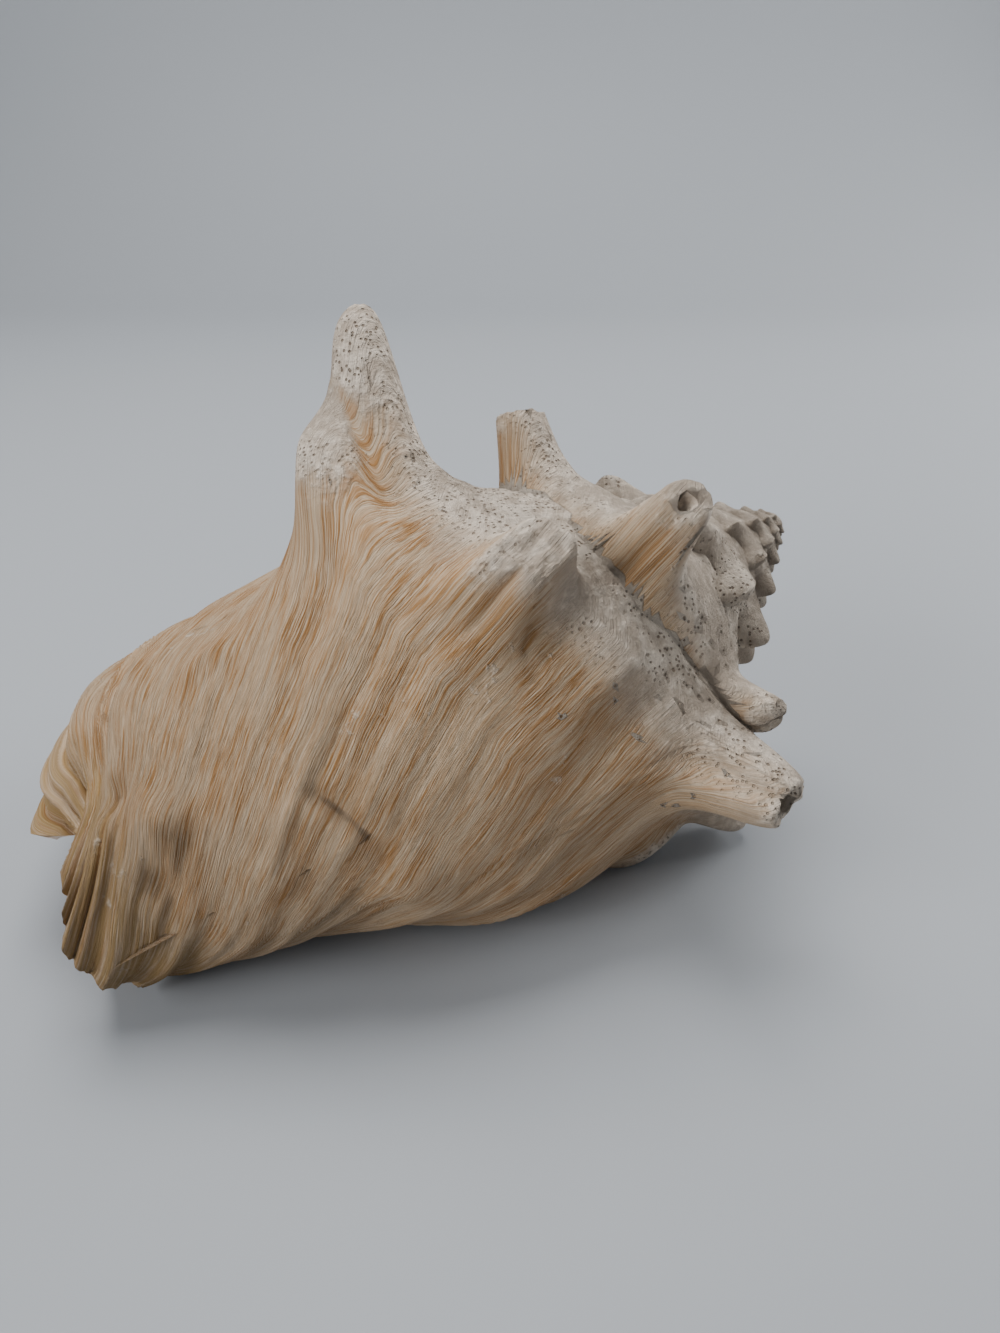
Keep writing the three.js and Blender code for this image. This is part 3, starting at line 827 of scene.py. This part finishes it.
FLOOR_DEPTH = 60
FLOOR_REACH = 300
BOX_FACES = [(0, 2, 3, 1), (4, 5, 7, 6), (0, 1, 5, 4), (2, 6, 7, 3), (0, 4, 6, 2), (1, 3, 7, 5)]
across_floor = (-FLOOR_REACH, FLOOR_REACH)
floor_corners = [(x, y, z) for z in (-FLOOR_DEPTH, 0) for y in across_floor for x in across_floor]
join(shell, meshed("below_floor", floor_corners, BOX_FACES, {}), "DIFFERENCE")


def keep_largest(piece):
    """Drops the specks that the cuts leave. Each point takes the lowest number that its neighbours have."""
    mesh = piece.data
    ends = np.empty(len(mesh.edges) * 2, int)
    mesh.edges.foreach_get("vertices", ends)
    a, b = ends[0::2], ends[1::2]
    label, before = np.arange(len(mesh.vertices)), None
    while before is None or (label != before).any():
        before = label.copy()
        low = np.minimum(label[a], label[b])
        np.minimum.at(label, a, low)
        np.minimum.at(label, b, low)
        label = label[label]
    largest = np.bincount(label).argmax()
    work = bmesh.new()
    work.from_mesh(mesh)
    work.verts.ensure_lookup_table()
    specks = [work.verts[k] for k in np.flatnonzero(label != largest)]
    bmesh.ops.delete(work, geom=specks, context="VERTS")
    work.to_mesh(mesh)
    work.free()


keep_largest(shell)

# The lime itself: cream, with orange-brown threads along the growth lines, chalky where it is worn, ochre at
# the canal and glossy pink inside the mouth. The sea took the skin off that covered it.
CREAM = (0.46, 0.32, 0.19, 1)
PALE = (0.58, 0.44, 0.30, 1)
ORANGE = (0.37, 0.175, 0.048, 1)
BROWN = (0.27, 0.125, 0.035, 1)
CHALK = (0.84, 0.74, 0.62, 1)
GREY_CHALK = (0.50, 0.42, 0.34, 1)
OCHRE = (0.38, 0.24, 0.09, 1)
PINK = (0.86, 0.45, 0.30, 1)
PALE_PINK = (0.88, 0.66, 0.50, 1)
# A dark brown that is painted shade, laid into the pits of the pores and along the scar's groove.
PAINTED_SHADE = (0.16, 0.11, 0.07, 1)

# Where each finish begins and where it is full, on the scale of what it is read from.
RAMP_CHALK = (0.36, 0.24)
RUBBED_CHALK = (0.5, 0.9)
SPIRE_CHALK = (-470, -560)
PATCH_CHALK = (0.63, 0.7)
CANAL_OCHRE = (0.83, 0.93)
OCHRE_BANDS = (0.35, 0.6)
CRISP_LINES = (0.45, 0.57)
FINE_LINES = (0.42, 0.58)
PALE_LINES = (0.6, 0.44)
GATHERED_LINES = (0.44, 0.56)
DEEP_LINES = (0.5, 0.6)
WHITE_CHALK = (0.42, 0.6)
PORE_EDGE = (0.32, 0.18)
PORED_PLACES = (0.44, 0.54)
SCAR_PAINTED_SHADE = (0.78, 1.05)
PALE_FLESH = (0.4, 0.6)
LINING = (0.4, 0.8)

# Shares of the colours over those below them, then the lime's roughness, gloss and fine relief, in metres.
CHALK_SHARE = 0.85
CHALK_COVERS = 0.8
LINES_SHARE = 0.4
DEEP_SHARE = 0.85
OCHRE_SHARE = 0.8
PORE_SHARE = 0.75
SCAR_SHARE = 0.7
DRY = 0.62
GLOSSIER_LINING = 0.42
FINE_RELIEF = 0.0011
PORES_EACH_METRE = 620.0
SHEEN_OF_LIME = 0.35

lime.use_nodes = True
paint = Value(lime.node_tree)
surface = lime.node_tree.nodes["Principled BSDF"]


def mark(name):
    return paint.make("ShaderNodeAttribute", {"attribute_name": name}, {}, "Fac")


def mottle(where, scale, detail, roughness=0.5):
    inputs = {"Vector": where, "Scale": scale, "Detail": detail, "Roughness": roughness}
    return paint.make("ShaderNodeTexNoise", {"noise_dimensions": "3D"}, inputs)


def blend(factor, first, second):
    return paint.make("ShaderNodeMix", {"data_type": "RGBA"}, {0: factor, 6: first, 7: second}, 2)


def ragged_edge(value, uneven, raggedness, edge):
    """A finish that begins and ends where a value does, with an uneven edge."""
    return (value + (uneven - 0.5) * raggedness).stepped(*edge)


# The painted lines wander by a degree or so beside the true growth lines.
WANDER = 2.2
spot = paint.make("ShaderNodeTexCoord", {}, {}, "Object")
grown, across_whorl, rubbed, within = mark("age"), mark("station"), mark("worn"), mark("inside")
line = grown + (mottle(spot, 60, 2) - 0.5) * WANDER


def streaks(for_each_degree, across, shift, detail, roughness=0.5):
    """Mottling that is drawn out along the growth lines, in lumps for each degree and across the whorl."""
    drawn_out = {0: line * for_each_degree, 1: across_whorl * across, 2: shift}
    return mottle(paint.make("ShaderNodeCombineXYZ", {}, drawn_out), 1, detail, roughness)


threads = streaks(5.5, 22, 1.0, 2)
lines = streaks(2.4, 16, 4.0, 3, 0.65)
bands = streaks(0.6, 12, 9.0, 2)
fields = streaks(0.075, 7, 20.0, 3)
# Mottling all over, in lumps for each metre.
grain = mottle(spot, 900, 3, 0.6)
clouds = mottle(spot, 45, 3)
crumbs = mottle(spot, 260, 3, 0.6)

ramp = ragged_edge(across_whorl, clouds, 0.16, RAMP_CHALK)
spines = ragged_edge(rubbed, crumbs, 0.3, RUBBED_CHALK)
spire = ragged_edge(grown, clouds, 60, SPIRE_CHALK)
patches = (clouds * 0.6 + crumbs * 0.4).stepped(*PATCH_CHALK) * 0.5
chalky = ramp.at_least(spines).at_least(spire).at_least(patches)
ochre = ragged_edge(across_whorl, bands, 0.1, CANAL_OCHRE)

crisp = lines.stepped(*CRISP_LINES)
fine = threads.stepped(*FINE_LINES)
zone = bands * 0.45 + fields * 0.55
clean = 1 - chalky * CHALK_COVERS
stained = (crisp * 0.7 + fine * 0.35) * zone.stepped(*GATHERED_LINES) * clean
deep = crisp * fine * zone.stepped(*DEEP_LINES) * clean

colour = blend(threads.stepped(*PALE_LINES), CREAM, PALE)
colour = blend(crisp * LINES_SHARE, colour, ORANGE)
colour = blend(stained, colour, ORANGE)
colour = blend(deep * DEEP_SHARE, colour, BROWN)
colour = blend(ochre * bands.stepped(*OCHRE_BANDS) * OCHRE_SHARE, colour, OCHRE)
chalk = blend((clouds * 0.5 + crumbs * 0.5).stepped(*WHITE_CHALK), GREY_CHALK, CHALK)
colour = blend(chalky * CHALK_SHARE, colour, chalk)
cells = paint.make("ShaderNodeTexVoronoi", {"feature": "F1"}, {"Vector": spot, "Scale": PORES_EACH_METRE})
pores = cells.stepped(*PORE_EDGE) * chalky * clouds.stepped(*PORED_PLACES)
# The pits of the pores are darkened with painted shade.
colour = blend(pores * PORE_SHARE, colour, PAINTED_SHADE)
flesh = blend(clouds.stepped(*PALE_FLESH), PINK, PALE_PINK)
# The scar's groove is darkened along its length with painted shade.
scar_painted_shade = ragged_edge(mark("crack"), crumbs, 0.3, SCAR_PAINTED_SHADE)
colour = blend(scar_painted_shade * SCAR_SHARE, colour, PAINTED_SHADE)
colour = blend(within.stepped(*LINING), colour, flesh)

# Chalk is duller than clean lime, and threads, crumbs and pores give the lime its grain.
rough = DRY + chalky * 0.22 + grain * 0.1 - within.stepped(*LINING) * GLOSSIER_LINING
height = lines * 0.8 + threads * 0.4 + bands * 0.5 - pores * 1.2 + (grain * 0.5 + crumbs * 1.4) * chalky
height = height * (1 - within * 0.85)
fine_relief = {"Strength": 1.0, "Distance": FINE_RELIEF, "Height": height}
tree = lime.node_tree
tree.links.new(colour.socket, surface.inputs["Base Color"])
tree.links.new(rough.socket, surface.inputs["Roughness"])
tree.links.new(paint.make("ShaderNodeBump", {}, fine_relief, "Normal").socket, surface.inputs["Normal"])
surface.inputs["Specular IOR Level"].default_value = SHEEN_OF_LIME

# Edges sharper than this stay crisp.
CRISP_EDGE = math.radians(55)

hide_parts("shell")
for piece in (shell, early_whorls):
    piece.data.materials.clear()
    piece.data.materials.append(lime)
    piece.data.shade_smooth()
    piece.data.set_sharp_from_angle(angle=CRISP_EDGE)
    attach(piece, "root")

# The floor and the background are one pale sheet of paper, which is swept up behind the shell and faces the
# camera. It only carries the shell, so it is part of the stage.
PAPER = (0.38, 0.40, 0.425, 1)
PAPER_ROUGHNESS = 0.6
SHEET_FRONT = -1.2
SHEET_HALF_WIDTH = 3
SHEET_TOP = 2.0
SWEEP_START = 0.9
SWEEP_RADIUS = 0.35
SWEEP_STEPS = 10
FACING = -math.atan2(0.445, 0.896)

sweep = [(SHEET_FRONT, 0)]
for bend in np.linspace(0, math.pi / 2, SWEEP_STEPS):
    sweep.append((SWEEP_START + SWEEP_RADIUS * math.sin(bend), SWEEP_RADIUS * (1 - math.cos(bend))))
sweep.append((SWEEP_START + SWEEP_RADIUS, SHEET_TOP))
corners = [
    (x * math.cos(FACING) - y * math.sin(FACING), x * math.sin(FACING) + y * math.cos(FACING), z)
    for y, z in sweep for x in (-SHEET_HALF_WIDTH, SHEET_HALF_WIDTH)
]
sheet = bpy.data.meshes.new("backdrop")
sheet.from_pydata(corners, [], [(2 * i, 2 * i + 1, 2 * i + 3, 2 * i + 2) for i in range(len(sweep) - 1)])
backdrop = bpy.data.objects.new("backdrop", sheet)
bpy.context.scene.collection.objects.link(backdrop)
paper = bpy.data.materials.new("pale_sheet")
paper.use_nodes = True
paper.node_tree.nodes["Principled BSDF"].inputs["Base Color"].default_value = PAPER
paper.node_tree.nodes["Principled BSDF"].inputs["Roughness"].default_value = PAPER_ROUGHNESS
sheet.materials.append(paper)
sheet.shade_smooth()


# Soft studio light: a large lamp above and behind the shell, one on each side, and a dim room.
SHELL_MIDDLE = Vector((0, 0, 0.06))
ROOM = (0.62, 0.66, 0.72, 1)
ROOM_STRENGTH = 0.27


def soft_light(name, stand, size, watts):
    lamp = bpy.data.lights.new(name, "AREA")
    lamp.size = size
    lamp.energy = watts
    holder = bpy.data.objects.new(name, lamp)
    holder.location = stand
    holder.rotation_euler = (SHELL_MIDDLE - Vector(stand)).to_track_quat("-Z", "Y").to_euler()
    bpy.context.scene.collection.objects.link(holder)


soft_light("ceiling", (0.05, 0.42, 1.25), 0.9, 18)
soft_light("window", (-1.2, -0.15, 0.6), 0.7, 12)
soft_light("far_window", (1.25, 0.1, 0.5), 0.8, 11)
world = bpy.data.worlds.new("room")
bpy.context.scene.world = world
world.use_nodes = True
world.node_tree.nodes["Background"].inputs["Color"].default_value = ROOM
world.node_tree.nodes["Background"].inputs["Strength"].default_value = ROOM_STRENGTH

# The camera stands where the photograph was taken from, measured from the foot of the coiling axis.
CAMERA_PLACE = [-156.1, -233.7, 144.5]
LOOKING_DOWN = math.radians(60)
LENS = 27.03
FILM_WIDTH = 36
NEAREST = 0.01

lens = bpy.data.cameras.new("camera")
lens.lens = LENS
lens.sensor_width = FILM_WIDTH
lens.clip_start = NEAREST
camera = bpy.data.objects.new("camera", lens)
camera.location = ((AXIS_FOOT + CAMERA_PLACE) * MM).tolist()
camera.rotation_euler = (LOOKING_DOWN, 0, FACING)
bpy.context.scene.collection.objects.link(camera)
bpy.context.scene.camera = camera
